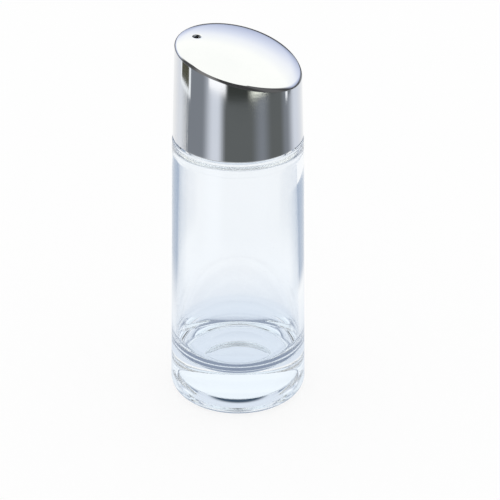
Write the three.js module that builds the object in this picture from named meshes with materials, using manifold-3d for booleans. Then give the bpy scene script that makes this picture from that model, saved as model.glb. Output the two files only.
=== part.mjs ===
// Salt pot: a tapering glass bottle closed by a slanted steel cap that screws on.
// Millimetres, +Z up, origin at the middle of the base. The cap slopes down towards +X,
// and its pouring hole is near the high end, towards -X.

import * as THREE from "three";
import { mergeVertices } from "three/addons/utils/BufferGeometryUtils.js";
import Module from "manifold-3d";

const wasm = await Module();
wasm.setup();

// Driving dimensions: heights stack up to 92, and the base is the widest place
const bodyHeight = 68;
const seamGap = 0.5;
const capHeight = 23.5;
const baseDiameter = 33;
const capBottomDiameter = 30.5;
const capTopDiameter = 29;

// Glass bottle
const shoulderProud = 0.15;
const heelRounding = 2.6;
const shoulderRounding = 0.6;
const glassWall = 1.5;
const floorThickness = 9.8;
const cavityHeelRounding = 7;
const cavityShoulderRounding = 2.8;
const neckRootRounding = 0.8;
const neckWall = 2.1;
const lipRounding = 0.6;
const puntRadius = 9;
const puntDepth = 2.3;
const puntRounding = 0.3;
const puntDraft = 0.3;
const puntFlareHeight = 0.7;
const puntFlareWidth = 0.6;

// Screw thread, right-handed, shared by the neck and the collar
const threadPitch = 4;
const threadDepth = 0.8;
const threadCrest = 0.6;
const threadRoot = 1.6;
const threadClearance = 0.35;
const threadEndRoom = 1.4;
const longestThreadTurns = 1.5;
const threadFadeTurnShare = 0.12;

// Steel cap shell: a drawn cone with a top face curved along the slope and across it
const shellWall = 0.5;
const rimRounding = 0.8;
const topArcRadius = 48;
const topCrossArcRadius = 66;
const topLevelFromAxis = 11.7;
const holeDiameter = 2;
const holeFromAxis = 9.8;

// Threaded collar inside the shell, and the seal ring under its flange
const fitClearance = 0.3;
const collarWall = 1.25;
const collarRecess = 0.4;
const collarHeadroom = 2.4;
const collarChamfer = 0.4;
const flangeThickness = 1.2;
const sealThickness = 1;
const sealRounding = 0.2;

// Overrun of cuts past a face, and of ridges into the wall they stand on
const overrun = 0.2;

// Facets round the axis, and steps on each rounded corner
const wideFacets = 56;
const innerFacets = 40;
const cornerSteps = 2;
const topRings = 7;
const holeFacets = 24;
const quarterTurn = Math.PI / 2;

const baseRadius = baseDiameter / 2;
const capBottomRadius = capBottomDiameter / 2;
const capTopRadius = capTopDiameter / 2;
const seamHeight = bodyHeight + seamGap;

// Outer radius of the cap's cone at a height above its bottom edge
function coneRadius(height) {
  return THREE.MathUtils.lerp(capBottomRadius, capTopRadius, height / capHeight);
}

// How far an arc of a radius has fallen away at a distance from its level point
function arcDrop(radius, distance) {
  return radius - Math.sqrt(radius ** 2 - distance ** 2);
}

// How far the top face lies below the cap's height at a place; it is level near the high end
function topDrop(x, y) {
  return arcDrop(topArcRadius, x + topLevelFromAxis) + arcDrop(topCrossArcRadius, y);
}

// Heights inside the cap, above its bottom edge, worked down from the low end of the slope
const collarTop = capHeight - topDrop(capTopRadius, 0) - shellWall - collarHeadroom;
const flangeBottom = collarTop - flangeThickness;
const sealTop = flangeBottom - fitClearance;
const neckTop = sealTop - sealThickness - fitClearance;

// Radii inside the cap, worked inwards from the narrower end of the shell's bore
const narrowBore = Math.min(coneRadius(0), coneRadius(collarTop)) - shellWall;
const collarBore = narrowBore - fitClearance - collarWall;
const neckRadius = collarBore - threadDepth - threadClearance;
const mouthRadius = neckRadius - neckWall;

// Both threads lie on one helix, with as many turns as the neck has room for. The collar's ridge
// lies just under the neck's, as when the cap is tight.
const neckHeight = neckTop + seamGap;
const ridgeRoom = threadEndRoom + threadRoot / 2;
const threadTurns = Math.min(longestThreadTurns, (neckHeight - ridgeRoom * 2) / threadPitch);
const neckThreadStart = neckHeight - ridgeRoom - threadTurns * threadPitch;
const ridgeSeat = (threadRoot + threadCrest) / 2 + fitClearance;
const collarThreadStart = neckThreadStart - seamGap - ridgeSeat;
const collarThreadSkip = Math.max(0, collarRecess + ridgeRoom - collarThreadStart) / threadPitch;

// Merges a closed surface's shared corners, drops its slivers and makes a solid of it
function toSolid(geometry) {
  const bare = geometry.index ? geometry.toNonIndexed() : geometry.clone();
  bare.deleteAttribute("normal");
  bare.deleteAttribute("uv");
  const merged = mergeVertices(bare);
  const corners = merged.index.array;
  const kept = [];
  for (let i = 0; i < corners.length; i += 3) {
    const [a, b, c] = corners.subarray(i, i + 3);
    if (a !== b && b !== c && c !== a) {
      kept.push(a, b, c);
    }
  }
  return new wasm.Manifold(
    new wasm.Mesh({
      numProp: 3,
      vertProperties: new Float32Array(merged.attributes.position.array),
      triVerts: new Uint32Array(kept),
    }),
  );
}

// The faces of a solid, as a surface with normals
function toGeometry(solid) {
  const mesh = solid.getMesh();
  const geometry = new THREE.BufferGeometry();
  geometry.setAttribute("position", new THREE.BufferAttribute(mesh.vertProperties, 3));
  geometry.setIndex(new THREE.BufferAttribute(mesh.triVerts, 1));
  geometry.computeVertexNormals();
  return geometry;
}

// Revolves an outline of radius and height about the Z axis
function revolve(outline, facets) {
  const geometry = new THREE.LatheGeometry(outline.getPoints(cornerSteps), facets);
  geometry.rotateX(quarterTurn);
  return geometry;
}

// A screw ridge: a straight bar of a trapezoid section, wound onto a cylinder along a right-handed
// helix. It stands outwards on a neck and inwards in a collar, and fades into its wall at both ends.
function screwRidge(wallRadius, outwards, start, skippedTurns, turns) {
  const way = outwards ? 1 : -1;
  const section = new THREE.Shape([
    new THREE.Vector2(-threadRoot / 2, -overrun * way),
    new THREE.Vector2(threadRoot / 2, -overrun * way),
    new THREE.Vector2(threadCrest / 2, threadDepth * way),
    new THREE.Vector2(-threadCrest / 2, threadDepth * way),
  ]);
  const steps = Math.ceil(turns * innerFacets);
  const bar = new THREE.ExtrudeGeometry(section, { depth: 1, steps, bevelEnabled: false });
  const place = bar.attributes.position;
  for (let i = 0; i < place.count; i += 1) {
    const turn = place.getZ(i) * turns;
    const fade = Math.min(1, turn / threadFadeTurnShare, (turns - turn) / threadFadeTurnShare);
    const stand = place.getY(i);
    const radius = wallRadius + (stand * way > 0 ? stand * fade : stand);
    const angle = (skippedTurns + turn) * 2 * Math.PI;
    const height = start + (skippedTurns + turn) * threadPitch + place.getX(i);
    place.setXYZ(i, radius * Math.cos(angle), radius * Math.sin(angle), height);
  }
  return toSolid(bar);
}

// The bottle: solid base with a stepped punt, tapering wall, rounded shoulder and threaded neck
function bottle() {
  const neckTopHeight = seamHeight + neckTop;
  const shoulderRadius = capBottomRadius + shoulderProud;
  const ceiling = bodyHeight - glassWall;
  const cavityRadius = shoulderRadius - glassWall;
  const ceilingWidth = cavityRadius - mouthRadius;
  const cavityShoulder = Math.min(cavityShoulderRounding, ceilingWidth - shoulderRounding);
  const puntFoot = puntRadius + puntDraft;
  const outline = new THREE.Path();
  outline.moveTo(0, puntDepth);
  outline.lineTo(puntRadius - puntRounding, puntDepth);
  outline.absarc(
    puntRadius - puntRounding, puntDepth - puntRounding, puntRounding, quarterTurn, 0, true,
  );
  outline.lineTo(puntFoot, puntFlareHeight);
  outline.lineTo(puntFoot + puntFlareWidth, 0);
  outline.absarc(baseRadius - heelRounding, heelRounding, heelRounding, -quarterTurn, 0);
  outline.absarc(
    shoulderRadius - shoulderRounding, bodyHeight - shoulderRounding, shoulderRounding, 0, quarterTurn,
  );
  outline.absarc(
    neckRadius + neckRootRounding, bodyHeight + neckRootRounding, neckRootRounding,
    -quarterTurn, -quarterTurn * 2, true,
  );
  outline.absarc(neckRadius - lipRounding, neckTopHeight - lipRounding, lipRounding, 0, quarterTurn);
  outline.absarc(
    mouthRadius + lipRounding, neckTopHeight - lipRounding, lipRounding, quarterTurn, quarterTurn * 2,
  );
  outline.absarc(
    mouthRadius + shoulderRounding, ceiling + shoulderRounding, shoulderRounding,
    quarterTurn * 2, quarterTurn * 3,
  );
  outline.absarc(
    cavityRadius - cavityShoulder, ceiling - cavityShoulder, cavityShoulder, quarterTurn, 0, true,
  );
  outline.absarc(
    baseRadius - glassWall - cavityHeelRounding, floorThickness + cavityHeelRounding,
    cavityHeelRounding, 0, -quarterTurn, true,
  );
  outline.lineTo(0, floorThickness);
  const glass = toSolid(revolve(outline, wideFacets));
  return glass.add(screwRidge(neckRadius, true, bodyHeight + neckThreadStart, 0, threadTurns));
}

// The cap shell: a straight revolved cup whose top is then lowered along the slope, with the
// skirt keeping to its cone, and a hole punched near the high end
function capShell() {
  const outline = new THREE.Path();
  outline.moveTo(capBottomRadius, 0);
  outline.lineTo(capTopRadius, capHeight - rimRounding);
  outline.absarc(capTopRadius - rimRounding, capHeight - rimRounding, rimRounding, 0, quarterTurn);
  for (let ring = topRings - 1; ring >= 0; ring -= 1) {
    outline.lineTo(((capTopRadius - rimRounding) * ring) / topRings, capHeight);
  }
  const innerRounding = Math.max(rimRounding - shellWall, overrun);
  const innerRadius = capTopRadius - shellWall;
  const ceiling = capHeight - shellWall;
  for (let ring = 0; ring < topRings; ring += 1) {
    outline.lineTo(((innerRadius - innerRounding) * ring) / topRings, ceiling);
  }
  outline.absarc(
    innerRadius - innerRounding, ceiling - innerRounding, innerRounding, quarterTurn, 0, true,
  );
  outline.lineTo(capBottomRadius - shellWall, 0);
  outline.lineTo(capBottomRadius, 0);
  const cup = revolve(outline, wideFacets);
  const place = cup.attributes.position;
  const point = new THREE.Vector3();
  for (let i = 0; i < place.count; i += 1) {
    point.fromBufferAttribute(place, i);
    const share = Math.min(1, point.z / (capHeight - rimRounding));
    const drop = topDrop(point.x, point.y) * share;
    const widen = coneRadius(point.z - drop) / coneRadius(point.z);
    place.setXYZ(i, point.x * widen, point.y * widen, point.z - drop);
  }
  const punch = new THREE.CylinderGeometry(
    holeDiameter / 2, holeDiameter / 2, capHeight - neckTop, holeFacets,
  );
  punch.rotateX(quarterTurn);
  punch.translate(-holeFromAxis, 0, capHeight);
  return toSolid(cup).subtract(toSolid(punch));
}

// The collar: a moulded ring pressed into the shell, threaded inside, with a flange over the seal
function threadedCollar() {
  const outerAt = (height) => coneRadius(height) - shellWall - fitClearance;
  const outline = new THREE.Path();
  outline.moveTo(collarBore + collarChamfer, collarRecess);
  outline.lineTo(outerAt(collarRecess) - collarChamfer, collarRecess);
  outline.lineTo(outerAt(collarRecess + collarChamfer), collarRecess + collarChamfer);
  outline.lineTo(outerAt(collarTop), collarTop - collarChamfer);
  outline.lineTo(outerAt(collarTop) - collarChamfer, collarTop);
  outline.lineTo(mouthRadius + fitClearance, collarTop);
  outline.lineTo(mouthRadius + fitClearance, flangeBottom);
  outline.lineTo(collarBore, flangeBottom);
  outline.lineTo(collarBore, collarRecess + collarChamfer);
  outline.closePath();
  const ring = toSolid(revolve(outline, innerFacets));
  const turns = threadTurns - collarThreadSkip;
  return ring.add(screwRidge(collarBore, false, collarThreadStart, collarThreadSkip, turns));
}

// The seal ring, between the glass lip and the collar's flange
function sealRing() {
  const inner = mouthRadius + fitClearance;
  const outer = collarBore - fitClearance;
  const bottom = sealTop - sealThickness;
  const outline = new THREE.Path();
  outline.moveTo(inner, bottom + sealRounding);
  outline.lineTo(inner + sealRounding, bottom);
  outline.lineTo(outer - sealRounding, bottom);
  outline.lineTo(outer, bottom + sealRounding);
  outline.lineTo(outer, sealTop - sealRounding);
  outline.lineTo(outer - sealRounding, sealTop);
  outline.lineTo(inner + sealRounding, sealTop);
  outline.lineTo(inner, sealTop - sealRounding);
  outline.closePath();
  return toSolid(revolve(outline, innerFacets));
}

// Finishes
const clearGlass = new THREE.MeshStandardMaterial({
  color: 0xdce8f0, roughness: 0.03, metalness: 0, transparent: true, opacity: 0.35,
});
const polishedSteel = new THREE.MeshStandardMaterial({ color: 0xc4c6ca, roughness: 0.14, metalness: 1 });
const mouldedWhite = new THREE.MeshStandardMaterial({ color: 0xeceae4, roughness: 0.45, metalness: 0 });
const softSeal = new THREE.MeshStandardMaterial({ color: 0xd2d6d8, roughness: 0.6, metalness: 0 });

function piece(name, solid, material) {
  const mesh = new THREE.Mesh(toGeometry(solid), material);
  mesh.name = name;
  return mesh;
}

// Assembly: the cap's pieces are drawn above its bottom edge, and the cap stands on the seam
const saltPot = new THREE.Group();
saltPot.add(piece("glass_bottle", bottle(), clearGlass));

const cap = new THREE.Group();
cap.position.z = seamHeight;
cap.add(piece("cap_shell", capShell(), polishedSteel));
cap.add(piece("threaded_collar", threadedCollar(), mouldedWhite));
cap.add(piece("seal_ring", sealRing(), softSeal));
saltPot.add(cap);

export default saltPot;
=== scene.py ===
"""Salt pot: a tapering glass bottle closed by a slanted, polished steel cap that screws on.

Metres, +Z up, origin at the middle of the base. The cap slopes down towards +X, and its pouring
hole is near the high end, towards -X.
"""

import bpy
import numpy as np
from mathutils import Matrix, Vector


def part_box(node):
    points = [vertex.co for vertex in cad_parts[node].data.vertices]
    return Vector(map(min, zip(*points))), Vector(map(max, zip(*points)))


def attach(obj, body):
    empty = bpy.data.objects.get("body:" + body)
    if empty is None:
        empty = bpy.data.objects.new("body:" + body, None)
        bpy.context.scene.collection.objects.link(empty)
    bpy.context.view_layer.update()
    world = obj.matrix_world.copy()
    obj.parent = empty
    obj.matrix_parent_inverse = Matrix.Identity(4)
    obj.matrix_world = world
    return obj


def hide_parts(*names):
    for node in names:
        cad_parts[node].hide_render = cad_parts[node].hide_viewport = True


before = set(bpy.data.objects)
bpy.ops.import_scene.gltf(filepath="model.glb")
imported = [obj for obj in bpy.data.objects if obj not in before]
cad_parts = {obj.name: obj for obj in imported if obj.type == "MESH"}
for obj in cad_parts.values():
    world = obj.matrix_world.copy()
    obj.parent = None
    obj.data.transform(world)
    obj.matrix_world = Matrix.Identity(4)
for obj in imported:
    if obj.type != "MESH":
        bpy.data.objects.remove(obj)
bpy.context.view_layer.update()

# Glass bottle: clear soda-lime glass, pressed with a thick base and a stepped punt under it, blown
# to a tapering body and fire polished. A right-handed screw ridge stands on its neck.
mm = 0.001
bottle_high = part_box("glass_bottle")[1]
cap_low, cap_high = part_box("cap_shell")
seal_low, seal_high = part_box("seal_ring")
base_radius = bottle_high.x
seam_gap = 0.5 * mm
body_top = cap_low.z - seam_gap
shoulder_proud = 0.15 * mm
shoulder_radius = cap_high.x + shoulder_proud
heel_rounding = 2.6 * mm
shoulder_rounding = 0.6 * mm
glass_wall = 1.5 * mm
floor_height = 9.8 * mm
floor_rounding = 7 * mm
ceiling_rounding = 2.8 * mm
punt_radius = 9 * mm
punt_depth = 2.3 * mm
punt_rounding = 0.3 * mm
punt_draft = 0.3 * mm
punt_flare_height = 0.7 * mm
punt_flare_width = 0.6 * mm
punt_wall_degrees = 10
punt_flare_degrees = 50
thread_pitch = 4 * mm
thread_depth = 0.8 * mm
thread_crest = 0.6 * mm
thread_root = 1.6 * mm
thread_clearance = 0.35 * mm
thread_end_room = 1.4 * mm
thread_turns = 1.5
thread_fade_turns = 0.12
fit_clearance = 0.3 * mm
neck_wall = 2.1 * mm
neck_radius = seal_high.x + fit_clearance - thread_depth - thread_clearance
mouth_radius = neck_radius - neck_wall
neck_root_rounding = 0.8 * mm
lip_rounding = 0.6 * mm
ridge_room = thread_end_room + thread_root / 2
neck_thread_start = bottle_high.z - ridge_room - thread_turns * thread_pitch
neck_thread_rows = 74
wave_height = 0.03 * mm
wave_fade = 5 * mm
wall_waves = ((1, 2, 5, 0), (0.6, 3, -11, 1), (0.5, 1, 17, 0))
glass_columns = 240
same_place = 1e-9
clean_glass = (0.965, 0.982, 1, 1)
marked_glass = (0.945, 0.972, 0.996, 1)


def arc(centre, radius, start, end, steps):
    """Points on a circle: the centre plus the radius times cosine and sine of angles, in degrees,
    evenly spread from start to end."""
    angles = np.radians(np.linspace(start, end, steps + 1))
    return np.asarray(centre) + radius * np.column_stack([np.cos(angles), np.sin(angles)])


def straight(start, end, steps):
    """Points inside a straight line, both ends left out, closer together towards the ends: the
    share of the way is half of one minus the cosine of an even angle."""
    share = (1 - np.cos(np.linspace(0, np.pi, steps + 1)[1:-1])) / 2
    return np.outer(1 - share, start) + np.outer(share, end)


def outline_of(*stretches):
    """Joins points and arcs to one outline; a whole number between two of them is the number of
    steps of the straight line that joins them."""
    points = []
    for place, stretch in enumerate(stretches):
        if isinstance(stretch, int):
            points.append(straight(stretches[place - 1][-1], stretches[place + 1][0], stretch))
        else:
            points.append(np.asarray(stretch, float))
    return np.vstack(points)


def rings(outline, columns):
    """The outline turned round the axis: each point's radius goes round with cosine and sine of
    the column's angle, and its height stays."""
    angle = np.linspace(0, 2 * np.pi, columns, endpoint=False)
    radius, height = outline[:, :1], outline[:, 1:]
    level = np.broadcast_to(height, (len(outline), columns))
    return np.stack([radius * np.cos(angle), radius * np.sin(angle), level], axis=-1)


def surface(name, grid, poles):
    """A closed mesh over a grid of rings. Each face joins four neighbours, round the ring first and
    along the outline second, so it faces the right-hand side of the outline. With poles, the first
    and last rings shrink to a point each; without, the last ring joins the first."""
    rows, columns = grid.shape[:2]
    index = np.arange(rows * columns).reshape(rows, columns)
    points = grid.reshape(-1, 3)
    if poles:
        index = index[1:-1] - columns + 1
        index = np.vstack([np.zeros((1, columns), int), index, np.full((1, columns), index.max() + 1)])
        points = np.vstack([grid[0, :1], grid[1:-1].reshape(-1, 3), grid[-1, :1]])
    else:
        index = np.vstack([index, index[:1]])
    ahead = np.roll(index, -1, axis=1)
    quads = np.stack([index[:-1], ahead[:-1], ahead[1:], index[1:]], axis=-1)
    if poles:
        faces = quads[0][:, [0, 2, 3]].tolist() + quads[1:-1].reshape(-1, 4).tolist()
        faces += quads[-1][:, [0, 1, 2]].tolist()
    else:
        faces = quads.reshape(-1, 4).tolist()
    mesh = bpy.data.meshes.new(name)
    mesh.from_pydata(points, [], faces)
    mesh.polygons.foreach_set("use_smooth", np.ones(len(mesh.polygons), bool))
    mesh.update()
    piece = bpy.data.objects.new(name, mesh)
    bpy.context.scene.collection.objects.link(piece)
    return piece


def screw_ridge(angle, height, start, skipped_turns, turns):
    """How far a screw ridge stands off its wall at an angle and a height. The ridge's middle climbs
    by the pitch each turn; its section is a trapezoid across the height, with eased corners (three
    times the square of the slope's share less twice its cube), faded in at both ends."""
    stand = np.zeros(np.broadcast(angle, height).shape)
    for whole_turns in range(int(np.ceil(skipped_turns + turns))):
        turn = angle / (2 * np.pi) + whole_turns
        away = np.abs(height - start - turn * thread_pitch)
        slope = np.clip((thread_root / 2 - away) / ((thread_root - thread_crest) / 2), 0, 1)
        done = turn - skipped_turns
        fade = np.clip(np.minimum(done, turns - done) / thread_fade_turns, 0, 1)
        eased = slope * slope * (3 - 2 * slope)
        stand = np.maximum(stand, thread_depth * eased * fade)
    return stand


def punt_outline():
    """The hollow under the base: a flat ceiling, a rounded corner, a nearly upright wall and a
    short flare down to the ring that the bottle stands on."""
    foot = punt_radius + punt_draft
    ring = foot + punt_flare_width
    ceiling_corner = (punt_radius - punt_rounding, punt_depth - punt_rounding)
    return (
        [[0, punt_depth]], 10,
        arc(ceiling_corner, punt_rounding, 90, punt_wall_degrees, 12), 4,
        [[foot, punt_flare_height]], 3,
        arc((ring, punt_rounding), punt_rounding, 270 - punt_flare_degrees, 270, 6),
    )


def glass_outline():
    """The bottle's half section, from the middle of the punt round the outside, over the lip and
    down the inside to the middle of the floor."""
    neck_top = bottle_high.z
    ceiling = body_top - glass_wall
    edge, root, lip = shoulder_rounding, neck_root_rounding, lip_rounding
    cavity_corner = (shoulder_radius - glass_wall - ceiling_rounding, ceiling - ceiling_rounding)
    floor_corner = (base_radius - glass_wall - floor_rounding, floor_height + floor_rounding)
    rows = np.linspace(body_top + root, neck_top - lip, neck_thread_rows)[1:-1]
    return outline_of(
        *punt_outline(), 6,
        arc((base_radius - heel_rounding, heel_rounding), heel_rounding, -90, 0, 24), 44,
        arc((shoulder_radius - edge, body_top - edge), edge, 0, 90, 12), 5,
        arc((neck_radius + root, body_top + root), root, -90, -180, 8),
        np.column_stack([np.full(len(rows), neck_radius), rows]),
        arc((neck_radius - lip, neck_top - lip), lip, 0, 90, 8), 3,
        arc((mouth_radius + lip, neck_top - lip), lip, 90, 180, 8), 12,
        arc((mouth_radius + edge, ceiling + edge), edge, 180, 270, 8), 4,
        arc(cavity_corner, ceiling_rounding, 90, 0, 16), 44,
        arc(floor_corner, floor_rounding, 0, -90, 30), 12,
        [[0, floor_height]],
    )


def glass_grid():
    """The outline turned round the axis, pushed out by the screw ridge on the neck, and with its
    inner wall waved slightly, as in blown glass: a sum of sines, each with its share of the height,
    its waves round the pot, its radians up the wall and its shift."""
    outline = glass_outline()
    radius, height = outline[:, :1], outline[:, 1:]
    angle = np.linspace(0, 2 * np.pi, glass_columns, endpoint=False)[None, :]
    on_neck = np.abs(radius - neck_radius) < same_place
    push = np.where(on_neck, screw_ridge(angle, height, neck_thread_start, 0, thread_turns), 0)
    inside = np.arange(len(outline))[:, None] > np.argmax(outline[:, 1])
    up = height / body_top
    wave = sum(
        share * np.sin(waves_round * angle + climb * up + shift)
        for share, waves_round, climb, shift in wall_waves
    )
    fade = np.clip((body_top - height) / wave_fade, 0, 1) * np.clip(radius / base_radius, 0, 1)
    push = push + np.where(inside, wave_height * wave * fade, 0)
    outwards = np.stack([np.cos(angle), np.sin(angle), np.zeros_like(angle)], axis=-1)
    return rings(outline, glass_columns) + push[..., None] * outwards


def new_material(name):
    """A material made of nodes, and its node tree."""
    material = bpy.data.materials.new(name)
    material.use_nodes = True
    return material, material.node_tree


def add_node(tree, kind, inputs=None, **fields):
    """Adds a shader node, sets its fields, and fills its inputs by name or number: a socket is
    linked, and a plain value is set."""
    made = tree.nodes.new(kind)
    for field, value in fields.items():
        setattr(made, field, value)
    for name, value in (inputs or {}).items():
        if isinstance(value, bpy.types.NodeSocket):
            tree.links.new(value, made.inputs[name])
        else:
            made.inputs[name].default_value = value
    return made


def mix_colours(tree, share, first, second):
    """Goes from the first colour to the second with the share. The node's colours are its sockets
    6 and 7, and its mixed colour is output 2."""
    colours = {0: share, 6: first, 7: second}
    return add_node(tree, "ShaderNodeMix", colours, data_type="RGBA").outputs[2]


def follow(tree, value, zone, first=0, last=1, interpolation="LINEAR"):
    """Goes from the first result to the last while the value crosses the zone, a start and an end."""
    made = add_node(
        tree, "ShaderNodeMapRange",
        {"Value": value, "From Min": zone[0], "From Max": zone[1], "To Min": first, "To Max": last},
        interpolation_type=interpolation,
    )
    return made.outputs["Result"]


def new_group(name, inputs, outputs):
    """A shader node group with number inputs, each with its first value, and number outputs."""
    tree = bpy.data.node_groups.new(name, "ShaderNodeTree")
    for socket, value in inputs.items():
        made = tree.interface.new_socket(socket, in_out="INPUT", socket_type="NodeSocketFloat")
        made.default_value = value
    for socket in outputs:
        tree.interface.new_socket(socket, in_out="OUTPUT", socket_type="NodeSocketFloat")
    return tree, tree.nodes.new("NodeGroupInput").outputs, tree.nodes.new("NodeGroupOutput").inputs


def handling_marks():
    """Soft clouds from hands and cloths: noise in the piece's own coordinates, stretched to run
    from Clean to Marked."""
    tree, given, result = new_group("handling_marks", {"Scale": 120, "Clean": 0, "Marked": 1}, ["Value"])
    place = add_node(tree, "ShaderNodeTexCoord").outputs["Object"]
    cloud = add_node(
        tree, "ShaderNodeTexNoise",
        {"Vector": place, "Scale": given["Scale"], "Detail": 4, "Roughness": 0.6},
    ).outputs["Fac"]
    cloud_edge = (0.35, 0.7)
    tree.links.new(follow(tree, cloud, cloud_edge, given["Clean"], given["Marked"]), result["Value"])
    return tree


marks_group = handling_marks()


def marks(tree, scale, clean=0, marked=1):
    """The handling marks placed in a material, with its own scale and range of values."""
    placed = add_node(
        tree, "ShaderNodeGroup", {"Scale": scale, "Clean": clean, "Marked": marked}, node_tree=marks_group,
    )
    return placed.outputs["Value"]


def clear_glass():
    """Soda-lime glass with a trace of blue that varies a little, and a fire-polished skin that is
    not quite flat."""
    material, tree = new_material("clear_glass")
    shader = tree.nodes["Principled BSDF"]
    tint = mix_colours(tree, marks(tree, scale=25), clean_glass, marked_glass)
    place = add_node(tree, "ShaderNodeTexCoord").outputs["Object"]
    ripple = add_node(tree, "ShaderNodeTexNoise", {"Vector": place, "Scale": 90, "Detail": 1})
    skin = add_node(
        tree, "ShaderNodeBump",
        {"Height": ripple.outputs["Fac"], "Strength": 0.12, "Distance": 0.1 * mm},
    )
    tree.links.new(tint, shader.inputs["Base Color"])
    tree.links.new(skin.outputs["Normal"], shader.inputs["Normal"])
    shader.inputs["Roughness"].default_value = 0
    shader.inputs["IOR"].default_value = 1.5
    shader.inputs["Transmission Weight"].default_value = 1
    return material


glass_bottle = surface("clear_bottle", glass_grid(), poles=True)
glass_bottle.data.materials.append(clear_glass())
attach(glass_bottle, "bottle")
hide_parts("glass_bottle")

# Cap shell: stainless steel sheet, drawn to a slightly conical cup. Its top is pressed to a slant
# that curves both ways, one pouring hole is punched near the high end, and it is then polished,
# which rounds off the last millimetres of the face.
seam = cap_low.z
cap_height = cap_high.z - seam
cap_bottom_radius = cap_high.x
cap_top_radius = 14.5 * mm
shell_wall = 0.5 * mm
rim_rounding = 0.6 * mm
outer_edge_rounding = 0.38 * mm
inner_edge_rounding = 0.08 * mm
top_arc_radius = 48 * mm
top_cross_arc_radius = 66 * mm
top_level_from_axis = 11.7 * mm
hole_radius = 1 * mm
hole_from_axis = 9.8 * mm
hole_rounding = 0.15 * mm
buffed_width = 2.4 * mm
buffed_drop = 0.3 * mm
top_rings = 41
cap_columns = 240
clean_steel = (0.75, 0.76, 0.775, 1)
marked_steel = (0.72, 0.735, 0.75, 1)
# Cut edge colour: duller cut metal, darkened further as a painted dark reflection
dull_cut_and_painted_dark_steel = (0.12, 0.125, 0.13, 1)
cut_and_painted_dark_edge_facing = (-0.6, -0.15)
skirt_facing = (0.15, 0.5)
skirt_satin = 0.01
turning_lines_scale = (60, 60, 7000)


def cone_radius(height):
    """Straight cone: from the bottom radius to the top radius over the cap's height."""
    return cap_bottom_radius + (cap_top_radius - cap_bottom_radius) * height / cap_height


def lean(points):
    """Lowers the top along the slope. The drop at a place is that of an arc along X, level near
    the high end, plus that of an arc across Y, plus the buffed drop times the square of the share
    of the buffed width; lower points get the share of their height. The radius is set back on the
    cone after that."""
    x, y, z = points[..., 0], points[..., 1], points[..., 2]
    drop = top_arc_radius - np.sqrt(top_arc_radius**2 - (x + top_level_from_axis) ** 2)
    drop = drop + top_cross_arc_radius - np.sqrt(top_cross_arc_radius**2 - y**2)
    buffed = np.clip(1 - (cap_top_radius - np.hypot(x, y)) / buffed_width, 0, 1)
    drop = drop + buffed_drop * buffed**2
    lowered = z - drop * np.clip(z / (cap_height - rim_rounding), 0, 1)
    widen = cone_radius(lowered) / cone_radius(z)
    return np.stack([x * widen, y * widen, lowered + seam], axis=-1)


def cap_grid():
    """Rings of the cap, from the hole's edge over the top, down the skirt, up the inside and out
    through the hole, taken the other way round in the end, so that the faces point outwards. On the
    top the rings grow from the hole to the rim, while their centre slides from the hole to the
    axis."""
    inner_rounding = rim_rounding - shell_wall
    inner_top = cap_height - shell_wall
    inner_bottom_radius = cap_bottom_radius - shell_wall
    inner_top_corner = (cap_top_radius - shell_wall - inner_rounding, inner_top - inner_rounding)
    flat_radius = cap_top_radius - rim_rounding
    outer, inner = outer_edge_rounding, inner_edge_rounding
    hole_edge = arc((hole_radius + hole_rounding, cap_height - hole_rounding), hole_rounding, 180, 90, 4)
    top_radii = np.linspace(hole_edge[-1, 0], flat_radius, top_rings + 1)[1:-1]
    top = np.column_stack([top_radii, np.full(len(top_radii), cap_height)])
    skirt = outline_of(
        arc((flat_radius, cap_height - rim_rounding), rim_rounding, 90, 0, 16), 60,
        arc((cap_bottom_radius - outer, outer), outer, 0, -90, 8),
        arc((inner_bottom_radius + inner, inner), inner, -90, -180, 4), 24,
        arc(inner_top_corner, inner_rounding, 0, 90, 6),
    )
    under_radii = np.linspace(skirt[-1, 0], hole_radius, top_rings // 2 + 2)[1:]
    under = np.column_stack([under_radii, np.full(len(under_radii), inner_top)])
    outline = np.vstack([hole_edge, top, skirt, under])[::-1]
    grid = rings(outline, cap_columns)
    reach = (outline[:, 0] - hole_radius) / (flat_radius - hole_radius)
    on_top = outline[:, 1] > inner_top - same_place
    slide = np.where(on_top, hole_from_axis * np.clip(1 - reach, 0, 1), 0)
    grid[..., 0] -= slide[:, None]
    return lean(grid)


def calculate(tree, operation, *values):
    """One math node's result."""
    return add_node(tree, "ShaderNodeMath", dict(enumerate(values)), operation=operation).outputs[0]


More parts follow.
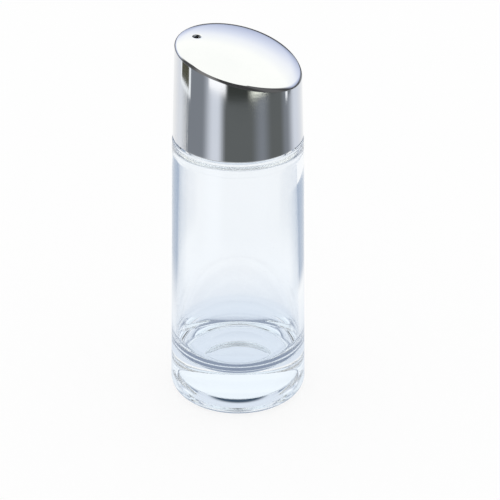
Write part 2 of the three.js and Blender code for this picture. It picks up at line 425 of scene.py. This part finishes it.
def polished_steel():
    """Bright stainless steel. The top is polished to a near mirror; the skirt keeps fine turning lines
    that run round it, from noise squeezed along Z, and its cut edge below is darkened: partly duller
    cut metal, partly a painted dark reflection that draws a dark line along the bottom edge. The way
    that the surface faces, from -1 for down to 1 for up, tells the three apart."""
    material, tree = new_material("polished_steel")
    shader = tree.nodes["Principled BSDF"]
    shader.inputs["Metallic"].default_value = 1
    normal = add_node(tree, "ShaderNodeNewGeometry").outputs["Normal"]
    facing = add_node(tree, "ShaderNodeSeparateXYZ", {0: normal}).outputs["Z"]
    # The cut edge, facing down, is darkened: duller cut metal and a painted dark reflection along the
    # bottom edge
    on_cut_and_painted_dark_edge = follow(tree, facing, cut_and_painted_dark_edge_facing, 1, 0)
    on_skirt = follow(tree, facing, skirt_facing, 1, 0, "SMOOTHSTEP")
    tint = mix_colours(tree, marks(tree, scale=60), clean_steel, marked_steel)
    steel = mix_colours(tree, on_cut_and_painted_dark_edge, tint, dull_cut_and_painted_dark_steel)
    place = add_node(tree, "ShaderNodeTexCoord").outputs["Object"]
    squeezed = add_node(tree, "ShaderNodeMapping", {"Vector": place, "Scale": turning_lines_scale})
    lines = add_node(
        tree, "ShaderNodeTexNoise", {"Vector": squeezed.outputs["Vector"], "Scale": 1, "Detail": 3},
    ).outputs["Fac"]
    cut = calculate(tree, "MULTIPLY", lines, on_skirt)
    relief = add_node(tree, "ShaderNodeBump", {"Height": cut, "Strength": 0.03, "Distance": 0.02 * mm})
    smears = marks(tree, scale=90, clean=0.035, marked=0.06)
    satin = calculate(tree, "MULTIPLY_ADD", on_skirt, skirt_satin, smears)
    tree.links.new(steel, shader.inputs["Base Color"])
    tree.links.new(satin, shader.inputs["Roughness"])
    tree.links.new(relief.outputs["Normal"], shader.inputs["Normal"])
    return material


cap_shell = surface("steel_cap", cap_grid(), poles=False)
cap_shell.data.materials.append(polished_steel())
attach(cap_shell, "cap")
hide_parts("cap_shell")

# Threaded collar: a ring of white moulded plastic, pressed and glued into the shell. It carries
# the inside thread, and its flange holds the seal ring down on the glass lip.
collar_low, collar_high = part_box("threaded_collar")
collar_bore = neck_radius + thread_depth + thread_clearance
collar_chamfer = 0.4 * mm
collar_rounding = 0.15 * mm
flange_thickness = 1.2 * mm
collar_thread_start = neck_thread_start - (thread_root + thread_crest) / 2 - fit_clearance
skipped_turns = max(0, collar_low.z + ridge_room - collar_thread_start) / thread_pitch
collar_thread_rows = 92
collar_columns = 200
# Painted light: moulded pieces seen through the glass close by glow with their own colour
painted_glow_strength = 0.7
painted_glow_reach = 20 * mm
grain_coarseness = 0.4


def collar_outline():
    """The collar's half section, anticlockwise: the underside, the outer wall that follows the
    shell's cone, the top of the flange, its hole and underside, and the threaded bore."""
    top, bottom, edge = collar_high.z, collar_low.z, collar_rounding
    outer_top, outer_bottom = (
        cone_radius(height - seam) - shell_wall - fit_clearance for height in (top, bottom + collar_chamfer)
    )
    flange_bottom = top - flange_thickness
    flange_hole = mouth_radius + fit_clearance
    rows = np.linspace(flange_bottom - edge, bottom + collar_chamfer, collar_thread_rows)[1:]
    return outline_of(
        [[collar_bore + collar_chamfer, bottom]], 4,
        [[outer_bottom - collar_chamfer, bottom]], 3,
        [[outer_bottom, bottom + collar_chamfer]], 12,
        [[outer_top, top - collar_chamfer]], 3,
        [[outer_top - collar_chamfer, top]], 8,
        arc((flange_hole + edge, top - edge), edge, 90, 180, 4), 4,
        arc((flange_hole + edge, flange_bottom + edge), edge, 180, 270, 4), 6,
        arc((collar_bore - edge, flange_bottom - edge), edge, 90, 0, 4),
        np.column_stack([np.full(len(rows), collar_bore), rows]),
    )


def collar_grid():
    """The outline turned round the axis, with the screw ridge drawn inwards on the bore."""
    outline = collar_outline()
    angle = np.linspace(0, 2 * np.pi, collar_columns, endpoint=False)[None, :]
    radius, height = outline[:, :1], outline[:, 1:]
    turns = thread_turns - skipped_turns
    ridge = screw_ridge(angle, height, collar_thread_start, skipped_turns, turns)
    pull = np.where(np.abs(radius - collar_bore) < same_place, ridge, 0)
    inwards = -np.stack([np.cos(angle), np.sin(angle), np.zeros_like(angle)], axis=-1)
    return rings(outline, collar_columns) + pull[..., None] * inwards


def fine_grain():
    """The skin of a moulded piece: fine noise over a coarser one, as a height."""
    tree, given, result = new_group("fine_grain", {"Scale": 900, "Coarse": 0.3}, ["Height"])
    place = add_node(tree, "ShaderNodeTexCoord").outputs["Object"]
    fine = add_node(tree, "ShaderNodeTexNoise", {"Vector": place, "Scale": given["Scale"], "Detail": 3})
    coarse = add_node(tree, "ShaderNodeTexNoise", {"Vector": place, "Scale": 140, "Detail": 1})
    height = calculate(tree, "MULTIPLY_ADD", coarse.outputs["Fac"], given["Coarse"], fine.outputs["Fac"])
    tree.links.new(height, result["Height"])
    return tree


grain_group = fine_grain()


def at_least(tree, times, count):
    """1 for rays that were turned back, or passed into glass, as many times as the count or more,
    and 0 for others. The times are whole, so the limit lies half way to the next lower one."""
    return calculate(tree, "GREATER_THAN", times, count - 0.5)


def moulded(name, pale, dull, clean, marked, grain_scale, grain_depth):
    """A moulded piece: its colour drifts from pale to dull and its roughness from clean to marked
    with the handling marks, over a fine grain. Where it is seen through the glass close by, it
    glows with its own colour: painted light, standing in for the light that comes up the bottle."""
    material, tree = new_material(name)
    shader = tree.nodes["Principled BSDF"]
    tint = mix_colours(tree, marks(tree, scale=70), pale, dull)
    grain = add_node(
        tree, "ShaderNodeGroup", {"Scale": grain_scale, "Coarse": grain_coarseness}, node_tree=grain_group,
    )
    skin = add_node(
        tree, "ShaderNodeBump",
        {"Height": grain.outputs["Height"], "Strength": 0.4, "Distance": grain_depth},
    )
    # Painted light: a glow of the piece's own colour where it is seen through the glass close by
    path = add_node(tree, "ShaderNodeLightPath").outputs
    through_glass = at_least(tree, path["Transmission Depth"], 1)
    near_glass = calculate(tree, "LESS_THAN", path["Ray Length"], painted_glow_reach)
    glow = calculate(tree, "MULTIPLY", near_glass, painted_glow_strength)
    glow = calculate(tree, "MULTIPLY", through_glass, glow)
    tree.links.new(tint, shader.inputs["Emission Color"])
    tree.links.new(glow, shader.inputs["Emission Strength"])
    tree.links.new(tint, shader.inputs["Base Color"])
    tree.links.new(marks(tree, 110, clean, marked), shader.inputs["Roughness"])
    tree.links.new(skin.outputs["Normal"], shader.inputs["Normal"])
    return material


collar = surface("screw_collar", collar_grid(), poles=False)
collar.data.materials.append(moulded(
    "moulded_collar", pale=(0.88, 0.88, 0.85, 1), dull=(0.83, 0.83, 0.79, 1),
    clean=0.38, marked=0.5, grain_scale=1400, grain_depth=0.02 * mm,
))
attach(collar, "cap")
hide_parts("threaded_collar")

# Seal ring: cut from a sheet of soft translucent elastomer, with its edges eased. It lies loose
# under the collar's flange and seals on the glass lip.
seal_rounding = 0.2 * mm
seal_columns = 160


def seal_grid():
    """A rectangle with rounded corners, turned round the axis."""
    inner, outer, edge = mouth_radius + fit_clearance, seal_high.x, seal_rounding
    bottom, top = seal_low.z, seal_high.z
    outline = outline_of(
        arc((inner + edge, bottom + edge), edge, 180, 270, 6), 8,
        arc((outer - edge, bottom + edge), edge, -90, 0, 6), 3,
        arc((outer - edge, top - edge), edge, 0, 90, 6), 8,
        arc((inner + edge, top - edge), edge, 90, 180, 6),
    )
    return rings(outline, seal_columns)


seal = surface("seal_washer", seal_grid(), poles=False)
seal.data.materials.append(moulded(
    "soft_seal", pale=(0.77, 0.80, 0.82, 1), dull=(0.70, 0.73, 0.75, 1),
    clean=0.55, marked=0.7, grain_scale=2200, grain_depth=0.03 * mm,
))
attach(seal, "seal")
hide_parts("seal_ring")

# Table: a plain pale floor that keeps the pot's soft shadow. Metal and glass see it plain white,
# with painted shade: a painted shadow, a little darker and cooler, close to the pot, darker painted
# shade under it for rays that the glass has turned back, and darkest painted shade under the base
# for the flat rays that skim in through the side of the glass.
floor_gap = 0.02 * mm
floor_reach = 3
floor_paint = (0.95, 0.95, 0.95, 1)
plain_white = (1, 1, 1, 1)
plain_white_share = 0.85
# Painted shadow and painted shade on the floor, for reflected and refracted rays only
near_pot_painted_shadow = (0.74, 0.80, 0.88, 1)
near_pot_zone = (18 * mm, 66 * mm)
turned_back_painted_shade = (0.22, 0.27, 0.37, 1)
under_pot_zone = (15.5 * mm, 18 * mm)
skim_painted_shade = (0.02, 0.05, 0.09, 1)
skim_zone = (5.8 * mm, 7.3 * mm)
bpy.ops.mesh.primitive_plane_add(size=floor_reach * 2, location=(0, 0, -floor_gap))
floor = bpy.context.object
floor.name = "studio_floor"


def fewer_than(tree, times, count):
    """1 for rays that were turned back, or passed into glass, fewer times than the count, and 0
    for others."""
    return calculate(tree, "LESS_THAN", times, count - 0.5)


def pale_floor():
    """The floor's material: the camera sees it mostly plain white, with the rest lit, so that the
    shadow stays; reflected and refracted rays see the painted shade and painted shadow named above."""
    material, tree = new_material("pale_floor")
    tree.nodes.clear()
    path = add_node(tree, "ShaderNodeLightPath").outputs
    place = add_node(tree, "ShaderNodeNewGeometry").outputs["Position"]
    away = add_node(tree, "ShaderNodeVectorMath", {0: place}, operation="LENGTH").outputs["Value"]
    off_pot = follow(tree, away, near_pot_zone, 0, 1, "SMOOTHSTEP")
    under_pot = follow(tree, away, under_pot_zone, 1, 0, "SMOOTHSTEP")
    under_base = follow(tree, away, skim_zone, 1, 0, "SMOOTHSTEP")
    skims = calculate(tree, "MULTIPLY", path["Is Transmission Ray"], under_base)
    skims = calculate(tree, "MULTIPLY", skims, fewer_than(tree, path["Transmission Depth"], 3))
    skims = calculate(tree, "MULTIPLY", skims, fewer_than(tree, path["Glossy Depth"], 1))
    turned_back = calculate(tree, "MULTIPLY", at_least(tree, path["Glossy Depth"], 1), under_pot)
    # Painted shade: darker, cooler tones close to the pot, under it and under its base
    tone = mix_colours(tree, off_pot, near_pot_painted_shadow, plain_white)
    tone = mix_colours(tree, skims, tone, skim_painted_shade)
    tone = mix_colours(tree, turned_back, tone, turned_back_painted_shade)
    tone = mix_colours(tree, path["Is Camera Ray"], tone, plain_white)
    seen = calculate(tree, "MAXIMUM", path["Is Glossy Ray"], path["Is Transmission Ray"])
    share = calculate(tree, "MULTIPLY_ADD", path["Is Camera Ray"], plain_white_share, seen)
    lit = add_node(tree, "ShaderNodeBsdfDiffuse", {"Color": floor_paint}).outputs[0]
    glow = add_node(tree, "ShaderNodeEmission", {"Color": tone}).outputs[0]
    both = add_node(tree, "ShaderNodeMixShader", {0: share, 1: lit, 2: glow}).outputs[0]
    add_node(tree, "ShaderNodeOutputMaterial", {"Surface": both})
    return material


floor.data.materials.append(pale_floor())

# Room: even white light from all round. Reflected rays see walls that darken towards the floor, so
# that bright metal and glass have edges: one set of tones for the metal, one for inside the glass.
room = bpy.data.worlds.new("studio_room")
bpy.context.scene.world = room
room.use_nodes = True


def tone_ramp(tree, position, stops, interpolation="EASE"):
    """A colour ramp whose stops are positions with a colour and how much of it shows."""
    made = add_node(tree, "ShaderNodeValToRGB", {"Fac": position})
    ramp = made.color_ramp
    ramp.interpolation = interpolation
    ramp.elements[0].position, ramp.elements[1].position = stops[0][0], stops[-1][0]
    ramp.elements[0].color, ramp.elements[1].color = stops[0][1], stops[-1][1]
    for place, colour in stops[1:-1]:
        ramp.elements.new(place).color = colour
    return made.outputs


def light_room():
    """The room's tones by height: the sine of the elevation runs up the ramp."""
    tree = room.node_tree
    direction = add_node(tree, "ShaderNodeTexCoord").outputs["Generated"]
    up = add_node(tree, "ShaderNodeSeparateXYZ", {0: direction}).outputs["Z"]
    in_metal = tone_ramp(tree, up, (
        (0.02, (0.06, 0.06, 0.065, 1)),
        (0.07, (0.45, 0.50, 0.64, 1)),
        (0.17, (0.64, 0.70, 0.90, 1)),
        (0.29, (0.90, 0.95, 1.10, 1)),
        (0.38, (1.15, 1.17, 1.22, 1)),
        (0.50, (1.32, 1.32, 1.26, 1)),
    ), "LINEAR")
    in_glass = tone_ramp(tree, up, (
        (0.12, (0.17, 0.20, 0.26, 1)),
        (0.20, (0.20, 0.25, 0.34, 1)),
        (0.34, (0.50, 0.57, 0.68, 1)),
        (0.46, (1.05, 1.08, 1.12, 1)),
        (0.60, (0.86, 0.93, 0.97, 1)),
    ), "LINEAR")
    path = add_node(tree, "ShaderNodeLightPath").outputs
    glass = at_least(tree, path["Transmission Depth"], 1)
    reflected = at_least(tree, path["Glossy Depth"], 1)
    seen = mix_colours(tree, glass, in_metal["Color"], in_glass["Color"])
    colour = mix_colours(tree, reflected, plain_white, seen)
    tree.links.new(colour, tree.nodes["Background"].inputs["Color"])


light_room()

# Studio cards: dark and pale cards round the pot, as a product photographer sets them to draw the
# shape of bright metal and glass. Only reflected rays meet them: some cards are there for the
# metal, and some for the glass.
camera_turn = np.radians(15.7)
card_lift = 0.5 * mm
card_columns = 97


def card(name, for_glass, near, far, fade, stops):
    """A card bent round the pot's axis. Its stops are turns, in degrees round from the camera's
    side, with a tone and how much it shows there, and its columns run from the first to the last.
    Its two rows are a near and a far ring, each a radius and a height, and it fades in over the
    first share of the way out."""
    first, last = stops[0][0], stops[-1][0]
    degrees = np.linspace(first, last, card_columns)
    angle = camera_turn - np.pi / 2 + np.radians(degrees)
    share = np.linspace(0, 1, 2)[:, None]
    radius = near[0] + (far[0] - near[0]) * share
    height = near[1] + (far[1] - near[1]) * share
    places = np.broadcast_arrays(radius * np.cos(angle), radius * np.sin(angle), height)
    points = np.stack(places, axis=-1).reshape(-1, 3)
    start = np.arange(card_columns - 1)
    faces = np.column_stack([start, start + 1, start + card_columns + 1, start + card_columns])
    mesh = bpy.data.meshes.new(name)
    mesh.from_pydata(points, [], faces.tolist())
    across = np.tile((degrees - first) / (last - first), 2)
    sides = np.repeat([0, 1], card_columns)
    corners = faces.ravel()
    mesh.uv_layers.new(name="across_card")
    mesh.uv_layers[0].uv.foreach_set("vector", np.column_stack([across[corners], sides[corners]]).ravel())
    made = bpy.data.objects.new(name, mesh)
    bpy.context.scene.collection.objects.link(made)
    made.visible_camera = made.visible_diffuse = made.visible_shadow = False
    material, tree = new_material(name)
    tree.nodes.clear()
    uv = add_node(tree, "ShaderNodeUVMap", uv_map="across_card").outputs["UV"]
    place = add_node(tree, "ShaderNodeSeparateXYZ", {0: uv}).outputs
    shares = [((turn - first) / (last - first), (*tone, shown)) for turn, tone, shown in stops]
    tones = tone_ramp(tree, place["X"], shares)
    faded = follow(tree, place["Y"], (0, fade), 0, 1, "SMOOTHSTEP")
    path = add_node(tree, "ShaderNodeLightPath").outputs
    reflected = at_least(tree, path["Glossy Depth"], 1)
    meant_for = at_least if for_glass else fewer_than
    meant = calculate(tree, "MULTIPLY", reflected, meant_for(tree, path["Transmission Depth"], 1))
    shown = calculate(tree, "MULTIPLY", calculate(tree, "MULTIPLY", tones["Alpha"], faded), meant)
    glow = add_node(tree, "ShaderNodeEmission", {"Color": tones["Color"]}).outputs[0]
    clear = add_node(tree, "ShaderNodeBsdfTransparent").outputs[0]
    both = add_node(tree, "ShaderNodeMixShader", {0: shown, 1: clear, 2: glow}).outputs[0]
    add_node(tree, "ShaderNodeOutputMaterial", {"Surface": both})
    mesh.materials.append(material)


def even(tone, *turns):
    """The stops of a card of one tone: it shows fully between the second and the third turn, and
    fades out towards the first and the fourth."""
    return tuple((turn, tone, shown) for turn, shown in zip(turns, (0, 1, 1, 0)))


pale_card_tone = (0.80, 0.84, 0.92)
grey_card_tone = (0.25, 0.27, 0.30)
dark_card_tone = (0.14, 0.15, 0.15)
card(
    "floor_card", for_glass=False, near=(80 * mm, card_lift), far=(500 * mm, card_lift), fade=0.09,
    stops=(
        (-150, pale_card_tone, 0),
        (-120, pale_card_tone, 1),
        (-95, grey_card_tone, 1),
        (-65, grey_card_tone, 1),
        (-42, pale_card_tone, 1),
        (-36, pale_card_tone, 1),
        (-20, dark_card_tone, 1),
        (20, dark_card_tone, 1),
        (40, grey_card_tone, 1),
        (60, dark_card_tone, 1),
        (75, dark_card_tone, 1),
        (90, grey_card_tone, 1),
        (115, pale_card_tone, 1),
        (160, pale_card_tone, 0),
    ),
)
card(
    "front_wall", for_glass=False, near=(500 * mm, card_lift), far=(200 * mm, 450 * mm), fade=0.001,
    stops=(
        (-120, (0.10, 0.10, 0.10), 0),
        (-100, (0.08, 0.08, 0.08), 1),
        (-80, (0.10, 0.10, 0.10), 1),
        (-62, (0.26, 0.255, 0.25), 1),
        (-32, (0.26, 0.255, 0.25), 1),
        (-16, (0.06, 0.06, 0.06), 1),
        (40, (0.06, 0.06, 0.06), 1),
        (62, (0.15, 0.15, 0.15), 1),
        (82, (0.15, 0.15, 0.15), 1),
        (100, (0.07, 0.07, 0.07), 1),
        (120, (0.07, 0.07, 0.07), 0),
    ),
)
card(
    "far_table", for_glass=False, near=(280 * mm, card_lift), far=(2900 * mm, card_lift), fade=0.02,
    stops=(
        (90, (0.08, 0.08, 0.08), 0),
        (110, (0.08, 0.08, 0.08), 1),
        (128, (0.08, 0.08, 0.08), 1),
        (142, (0.30, 0.31, 0.33), 1),
        (158, (0.08, 0.08, 0.08), 1),
        (208, (0.08, 0.08, 0.08), 1),
        (226, (0.30, 0.31, 0.33), 1),
        (240, (0.08, 0.08, 0.08), 1),
        (270, (0.08, 0.08, 0.08), 0),
    ),
)

# Small cards lie over the floor card, in layers one lift apart, and each draws one mark on the skirt
card(
    "slot_edge", for_glass=False, near=(203 * mm, card_lift * 2), far=(300 * mm, card_lift * 2),
    fade=0.02, stops=even((1.15, 1.18, 1.20), -120, -118, -91, -89),
)
card(
    "dark_slot", for_glass=False, near=(208 * mm, card_lift * 3), far=(300 * mm, card_lift * 3),
    fade=0.02, stops=even((0.10, 0.10, 0.07), -117, -115, -96, -93),
)
card(
    "white_wedge", for_glass=False, near=(226 * mm, card_lift * 2), far=(330 * mm, card_lift * 2),
    fade=0.05, stops=even((1.35, 1.35, 1.36), -54, -48, -24, -16),
)
card(
    "dark_patch", for_glass=False, near=(219 * mm, card_lift * 3), far=(320 * mm, card_lift * 3),
    fade=0.06,
    stops=(
        (-22, (0.045, 0.05, 0.045), 0),
        (-14, (0.045, 0.05, 0.045), 1),
        (50, (0.05, 0.055, 0.05), 1),
        (95, (0.10, 0.11, 0.10), 0),
    ),
)
card(
    "bright_spot", for_glass=False, near=(223 * mm, card_lift * 4), far=(230 * mm, card_lift * 4),
    fade=0.2, stops=even((1.55, 1.58, 1.38), 14, 30, 44, 62),
)
card(
    "bright_line", for_glass=False, near=(198 * mm, card_lift * 4), far=(260 * mm, card_lift * 4),
    fade=0.1, stops=even((1.20, 1.22, 1.25), 89, 91, 94, 96),
)
card(
    "dark_line", for_glass=False, near=(198 * mm, card_lift * 4), far=(260 * mm, card_lift * 4),
    fade=0.15, stops=even((0.10, 0.11, 0.11), 96, 98, 103, 107),
)

# Two cards behind the pot give the glass its grey-blue edges
blue_card_tone = (0.34, 0.42, 0.54)
card(
    "blue_card_right", for_glass=True, near=(54 * mm, card_lift), far=(125 * mm, card_lift), fade=0.25,
    stops=((95, blue_card_tone, 0), (110, blue_card_tone, 1), (180, blue_card_tone, 1)),
)
card(
    "blue_card_left", for_glass=True, near=(38 * mm, card_lift), far=(230 * mm, card_lift), fade=0.22,
    stops=((180, blue_card_tone, 1), (250, blue_card_tone, 1), (265, blue_card_tone, 0)),
)

# Camera: at the photograph's viewing angle, looking down by about half a radian and turned a little
# towards the low end of the cap. The pot's axis lies left of the middle of the picture.
camera_distance = 436 * mm
camera_height = 284.6 * mm
camera_pitch = 0.5159
focal_px = 2086
picture_px = 500
axis_px = 238
camera_data = bpy.data.cameras.new("camera")
camera = bpy.data.objects.new("camera", camera_data)
bpy.context.scene.collection.objects.link(camera)
camera.location = (
    camera_distance * np.sin(camera_turn), -camera_distance * np.cos(camera_turn), camera_height,
)
camera.rotation_euler = (np.pi / 2 - camera_pitch, 0, camera_turn)
camera_data.lens = focal_px / picture_px * camera_data.sensor_width
camera_data.shift_x = (picture_px / 2 - axis_px) / picture_px
bpy.context.scene.camera = camera
bpy.context.scene.view_settings.view_transform = "Standard"

# Thick glass turns light back inside itself many times before it leaves
glass_bounces = 32
bpy.context.scene.cycles.max_bounces = glass_bounces
bpy.context.scene.cycles.glossy_bounces = glass_bounces
bpy.context.scene.cycles.transmission_bounces = glass_bounces
